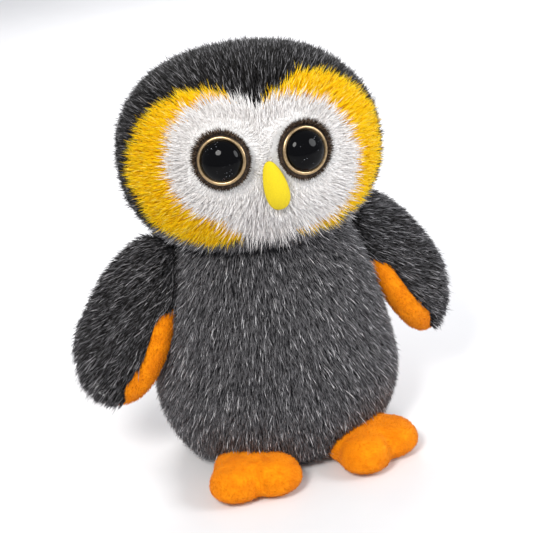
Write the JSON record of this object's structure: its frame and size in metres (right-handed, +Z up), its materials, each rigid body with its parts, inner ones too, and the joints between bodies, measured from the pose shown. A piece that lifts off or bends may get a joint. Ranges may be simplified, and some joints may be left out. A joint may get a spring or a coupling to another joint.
{
  "type": "interactive plush pet",
  "caption": "Seated plush owl with a motorised case inside that turns the head and flaps the wings; press-to-talk button in the tummy, battery door in the base.",
  "frame": {"origin": "middle of the flat base, on the surface the owl sits on", "axes": "+Z up through the neck, the body faces -Y, +X towards the right wing as seen from the front"},
  "size_m": [0.257, 0.1576, 0.2692],
  "materials": {
    "grey_fur": "charcoal long-pile plush with pale guard hairs",
    "white_fur": "white plush pile",
    "yellow_fur": "golden yellow plush pile",
    "orange_fleece": "orange short-pile velboa",
    "base_cloth": "dark non-slip cloth",
    "yellow_felt": "lemon yellow felt",
    "stuffing": "white fibre filling",
    "dark_pile": "very dark short pile",
    "eye_black": "glossy black with fine glitter",
    "eye_gold": "metallic champagne",
    "case_plastic": "moulded",
    "white_plastic": "moulded",
    "black_plastic": "moulded",
    "gear_plastic": "moulded, greased",
    "board": "green board",
    "speaker_paper": "pressed paper",
    "cell": "printed sleeve, no text",
    "steel": "plain",
    "brass": "plain"
  },
  "bodies": {
    "body": {"body_plush": "grey_fur", "base_pad": "base_cloth", "body_stuffing": "stuffing", "foot_left": "orange_fleece", "foot_right": "orange_fleece", "housing_front": "case_plastic", "housing_back": "case_plastic", "housing_screws": "steel", "battery_tray": "case_plastic", "battery_cells": "cell", "battery_contacts": "steel", "battery_springs": "steel", "battery_door": "case_plastic", "door_screw": "steel", "switch_body": "black_plastic", "button_board": "board", "button_switch": "black_plastic", "circuit_board": "board", "board_components": "black_plastic", "microphone": "steel", "speaker_basket": "steel", "speaker_cone": "speaker_paper", "gear_plate": "steel", "plate_screws": "steel", "idler_pins": "steel", "reduction_pin": "steel", "wing_pins": "steel", "wing_motor": "steel", "turn_motor": "steel", "neck_bush": "white_plastic"},
    "head": {"head_hood": "grey_fur", "cheek_panels": "yellow_fur", "face_mask": "white_fur", "head_stuffing": "stuffing", "head_plate": "case_plastic", "neck_post": "white_plastic", "neck_gear": "gear_plastic", "eye_dome_left": "eye_black", "eye_dome_right": "eye_black", "eye_ring_left": "eye_gold", "eye_ring_right": "eye_gold", "eye_lash_left": "dark_pile", "eye_lash_right": "dark_pile", "eye_washers": "white_plastic", "beak": "yellow_felt"},
    "wing_right": {"wing_arm_right": "gear_plastic", "wing_fur_right": "grey_fur", "wing_lining_right": "orange_fleece", "wing_stuffing_right": "stuffing"},
    "wing_left": {"wing_arm_left": "gear_plastic", "wing_fur_left": "grey_fur", "wing_lining_left": "orange_fleece", "wing_stuffing_left": "stuffing"},
    "idler_right": {"idler_gear_right": "gear_plastic"},
    "idler_left": {"idler_gear_left": "gear_plastic"},
    "reduction": {"reduction_gear": "gear_plastic"},
    "wing_pinion": {"wing_pinion": "brass"},
    "turn_pinion": {"turn_pinion": "brass"},
    "power_knob": {"power_knob": "black_plastic"},
    "press_button": {"press_button": "white_plastic"}
  },
  "joints": [
    {"name": "wing_right_flap", "type": "hinge", "parent": "body", "child": "wing_right", "pos_m": [0.046, 0, 0.145], "axis": [0, -1, 0], "range_deg": [-2, 26]},
    {"name": "wing_left_flap", "type": "hinge", "parent": "body", "child": "wing_left", "pos_m": [-0.046, 0, 0.145], "axis": [0, -1, 0], "range_deg": [-26, 2]},
    {"name": "idler_right_spin", "type": "hinge", "parent": "body", "child": "idler_right", "pos_m": [0.018, 0, 0.12237], "axis": [0, -1, 0], "range_deg": [-26, 2]},
    {"name": "idler_left_spin", "type": "hinge", "parent": "body", "child": "idler_left", "pos_m": [-0.018, 0, 0.12237], "axis": [0, -1, 0], "range_deg": [-2, 26]},
    {"name": "reduction_spin", "type": "hinge", "parent": "body", "child": "reduction", "pos_m": [0.018, 0, 0.09837], "axis": [0, -1, 0], "range_deg": [-6, 78]},
    {"name": "wing_pinion_spin", "type": "hinge", "parent": "body", "child": "wing_pinion", "pos_m": [0.0024, 0, 0.07757], "axis": [0, -1, 0], "range_deg": [-260, 20]},
    {"name": "head_turn", "type": "hinge", "parent": "body", "child": "head", "pos_m": [0, 0, 0.15], "axis": [0, 0, 1], "range_deg": [-35, 35]},
    {"name": "turn_pinion_spin", "type": "hinge", "parent": "body", "child": "turn_pinion", "pos_m": [-0.02191, -0.014, 0.145], "axis": [0, 0, 1], "range_deg": [-116.68, 116.68]},
    {"name": "power_slide", "type": "slide", "parent": "body", "child": "power_knob", "axis": [0, 1, 0], "range_m": [0, 0.003]},
    {"name": "button_press", "type": "slide", "parent": "body", "child": "press_button", "axis": [0, 1, 0], "range_m": [0, 0.002], "stiffness_N_per_m": 400}
  ],
  "couplings": [
    {"joint": "wing_left_flap", "follows": "wing_right_flap", "ratio": -1},
    {"joint": "idler_right_spin", "follows": "wing_right_flap", "ratio": -1},
    {"joint": "idler_left_spin", "follows": "wing_right_flap", "ratio": 1},
    {"joint": "reduction_spin", "follows": "wing_right_flap", "ratio": 3},
    {"joint": "wing_pinion_spin", "follows": "wing_right_flap", "ratio": -10},
    {"joint": "turn_pinion_spin", "follows": "head_turn", "ratio": -3.3333}
  ]
}
